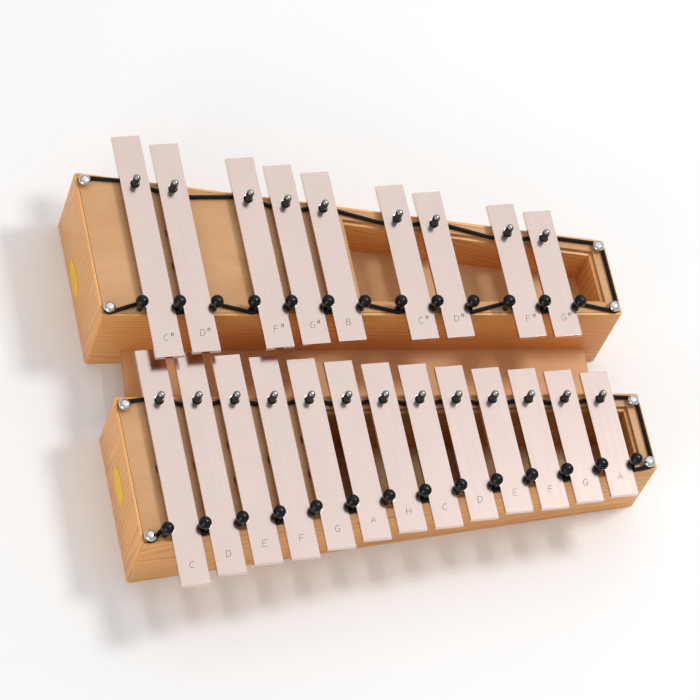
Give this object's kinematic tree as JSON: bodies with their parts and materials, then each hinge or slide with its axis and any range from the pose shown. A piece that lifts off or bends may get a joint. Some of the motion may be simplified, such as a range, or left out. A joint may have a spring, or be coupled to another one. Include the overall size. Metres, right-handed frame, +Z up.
{
  "type": "chromatic glockenspiel",
  "caption": "Alto glockenspiel: two tapered pine resonator boxes side by side with flat metal bars, each on one sleeved pin and an elastic cord.",
  "frame": {"origin": "middle of the footprint of the whole instrument, on the surface it stands on", "axes": "+X along the rows from the long bars to the short bars, +Y from the player to the back, along the bars, +Z up"},
  "size_m": [0.3693, 0.336, 0.0854],
  "materials": {
    "bar_metal": "fine brushed, satin",
    "pine": "clear satin varnish over straight pine grain",
    "plywood": "clear satin varnish over pale plywood",
    "dark_plywood": "plain brown plywood, matt",
    "bright_nail": "bright nickel plated",
    "sleeve_rubber": "smooth black rubber",
    "black_gloss_plastic": "polished black",
    "elastic_cord": "braided elastic",
    "yellow_label": "plain printed paper label"
  },
  "bodies": {
    "diatonic_box": {"diatonic_back_wall": "pine", "diatonic_bar_pins": "bright_nail", "diatonic_cord": "elastic_cord", "diatonic_corner_nails": "bright_nail", "diatonic_divider_1": "plywood", "diatonic_divider_2": "plywood", "diatonic_divider_3": "plywood", "diatonic_floor": "plywood", "diatonic_front_wall": "pine", "diatonic_guide_balls": "black_gloss_plastic", "diatonic_guide_pins": "bright_nail", "diatonic_high_end_wall": "pine", "diatonic_label": "yellow_label", "diatonic_low_end_wall": "pine", "diatonic_pin_sleeves": "sleeve_rubber", "diatonic_top": "plywood"},
    "chromatic_box": {"chromatic_back_wall": "pine", "chromatic_bar_pins": "bright_nail", "chromatic_cord": "elastic_cord", "chromatic_corner_nails": "bright_nail", "chromatic_divider_1": "plywood", "chromatic_floor": "plywood", "chromatic_front_wall": "pine", "chromatic_guide_balls": "black_gloss_plastic", "chromatic_guide_pins": "bright_nail", "chromatic_high_end_wall": "pine", "chromatic_label": "yellow_label", "chromatic_low_end_wall": "pine", "chromatic_pin_sleeves": "sleeve_rubber", "chromatic_top": "plywood", "connecting_board": "dark_plywood"},
    "bar_c5": {"bar_c5": "bar_metal"},
    "bar_d5": {"bar_d5": "bar_metal"},
    "bar_e5": {"bar_e5": "bar_metal"},
    "bar_f5": {"bar_f5": "bar_metal"},
    "bar_g5": {"bar_g5": "bar_metal"},
    "bar_a5": {"bar_a5": "bar_metal"},
    "bar_b5": {"bar_b5": "bar_metal"},
    "bar_c6": {"bar_c6": "bar_metal"},
    "bar_d6": {"bar_d6": "bar_metal"},
    "bar_e6": {"bar_e6": "bar_metal"},
    "bar_f6": {"bar_f6": "bar_metal"},
    "bar_g6": {"bar_g6": "bar_metal"},
    "bar_a6": {"bar_a6": "bar_metal"},
    "bar_c_sharp_5": {"bar_c_sharp_5": "bar_metal"},
    "bar_d_sharp_5": {"bar_d_sharp_5": "bar_metal"},
    "bar_f_sharp_5": {"bar_f_sharp_5": "bar_metal"},
    "bar_g_sharp_5": {"bar_g_sharp_5": "bar_metal"},
    "bar_b_flat_5": {"bar_b_flat_5": "bar_metal"},
    "bar_c_sharp_6": {"bar_c_sharp_6": "bar_metal"},
    "bar_d_sharp_6": {"bar_d_sharp_6": "bar_metal"},
    "bar_f_sharp_6": {"bar_f_sharp_6": "bar_metal"},
    "bar_g_sharp_6": {"bar_g_sharp_6": "bar_metal"}
  },
  "joints": [
    {"name": "chromatic_box_slide", "type": "slide", "parent": "diatonic_box", "child": "chromatic_box", "axis": [0, 1, 0], "range_m": [0, 0.08]},
    {"name": "bar_c5_tip", "type": "hinge", "parent": "diatonic_box", "child": "bar_c5", "pos_m": [-0.1553, -0.13081, 0.0647], "axis": [1, 0, 0], "range_deg": [0, 2.8]},
    {"name": "bar_d5_tip", "type": "hinge", "parent": "diatonic_box", "child": "bar_d5", "pos_m": [-0.12955, -0.12926, 0.0647], "axis": [1, 0, 0], "range_deg": [0, 3]},
    {"name": "bar_e5_tip", "type": "hinge", "parent": "diatonic_box", "child": "bar_e5", "pos_m": [-0.1038, -0.12771, 0.0647], "axis": [1, 0, 0], "range_deg": [0, 3.1]},
    {"name": "bar_f5_tip", "type": "hinge", "parent": "diatonic_box", "child": "bar_f5", "pos_m": [-0.07805, -0.12617, 0.0647], "axis": [1, 0, 0], "range_deg": [0, 3.2]},
    {"name": "bar_g5_tip", "type": "hinge", "parent": "diatonic_box", "child": "bar_g5", "pos_m": [-0.0523, -0.12462, 0.0647], "axis": [1, 0, 0], "range_deg": [0, 9.7]},
    {"name": "bar_a5_tip", "type": "hinge", "parent": "diatonic_box", "child": "bar_a5", "pos_m": [-0.02655, -0.12307, 0.0647], "axis": [1, 0, 0], "range_deg": [0, 10.2]},
    {"name": "bar_b5_tip", "type": "hinge", "parent": "diatonic_box", "child": "bar_b5", "pos_m": [-0.0008, -0.12152, 0.0647], "axis": [1, 0, 0], "range_deg": [0, 10.7]},
    {"name": "bar_c6_tip", "type": "hinge", "parent": "diatonic_box", "child": "bar_c6", "pos_m": [0.02495, -0.11997, 0.0647], "axis": [1, 0, 0], "range_deg": [0, 11.3]},
    {"name": "bar_d6_tip", "type": "hinge", "parent": "diatonic_box", "child": "bar_d6", "pos_m": [0.0507, -0.11842, 0.0647], "axis": [1, 0, 0], "range_deg": [0, 11.9]},
    {"name": "bar_e6_tip", "type": "hinge", "parent": "diatonic_box", "child": "bar_e6", "pos_m": [0.07645, -0.11687, 0.0647], "axis": [1, 0, 0], "range_deg": [0, 12.6]},
    {"name": "bar_f6_tip", "type": "hinge", "parent": "diatonic_box", "child": "bar_f6", "pos_m": [0.1022, -0.11532, 0.0647], "axis": [1, 0, 0], "range_deg": [0, 13.4]},
    {"name": "bar_g6_tip", "type": "hinge", "parent": "diatonic_box", "child": "bar_g6", "pos_m": [0.12795, -0.11377, 0.0647], "axis": [1, 0, 0], "range_deg": [0, 14.3]},
    {"name": "bar_a6_tip", "type": "hinge", "parent": "diatonic_box", "child": "bar_a6", "pos_m": [0.1537, -0.11222, 0.0647], "axis": [1, 0, 0], "range_deg": [0, 15.4]},
    {"name": "bar_c_sharp_5_tip", "type": "hinge", "parent": "chromatic_box", "child": "bar_c_sharp_5", "pos_m": [-0.1447, 0.0311, 0.0752], "axis": [1, 0, 0], "range_deg": [0, 8.3]},
    {"name": "bar_d_sharp_5_tip", "type": "hinge", "parent": "chromatic_box", "child": "bar_d_sharp_5", "pos_m": [-0.11895, 0.02908, 0.0752], "axis": [1, 0, 0], "range_deg": [0, 8.6]},
    {"name": "bar_f_sharp_5_tip", "type": "hinge", "parent": "chromatic_box", "child": "bar_f_sharp_5", "pos_m": [-0.06745, 0.02503, 0.0752], "axis": [1, 0, 0], "range_deg": [0, 9.4]},
    {"name": "bar_g_sharp_5_tip", "type": "hinge", "parent": "chromatic_box", "child": "bar_g_sharp_5", "pos_m": [-0.0417, 0.02301, 0.0752], "axis": [1, 0, 0], "range_deg": [0, 9.8]},
    {"name": "bar_b_flat_5_tip", "type": "hinge", "parent": "chromatic_box", "child": "bar_b_flat_5", "pos_m": [-0.01595, 0.02098, 0.0752], "axis": [1, 0, 0], "range_deg": [0, 10.3]},
    {"name": "bar_c_sharp_6_tip", "type": "hinge", "parent": "chromatic_box", "child": "bar_c_sharp_6", "pos_m": [0.03555, 0.01694, 0.0752], "axis": [1, 0, 0], "range_deg": [0, 11.5]},
    {"name": "bar_d_sharp_6_tip", "type": "hinge", "parent": "chromatic_box", "child": "bar_d_sharp_6", "pos_m": [0.0613, 0.01491, 0.0752], "axis": [1, 0, 0], "range_deg": [0, 12.2]},
    {"name": "bar_f_sharp_6_tip", "type": "hinge", "parent": "chromatic_box", "child": "bar_f_sharp_6", "pos_m": [0.1128, 0.01086, 0.0752], "axis": [1, 0, 0], "range_deg": [0, 13.8]},
    {"name": "bar_g_sharp_6_tip", "type": "hinge", "parent": "chromatic_box", "child": "bar_g_sharp_6", "pos_m": [0.13855, 0.00884, 0.0752], "axis": [1, 0, 0], "range_deg": [0, 14.8]}
  ]
}
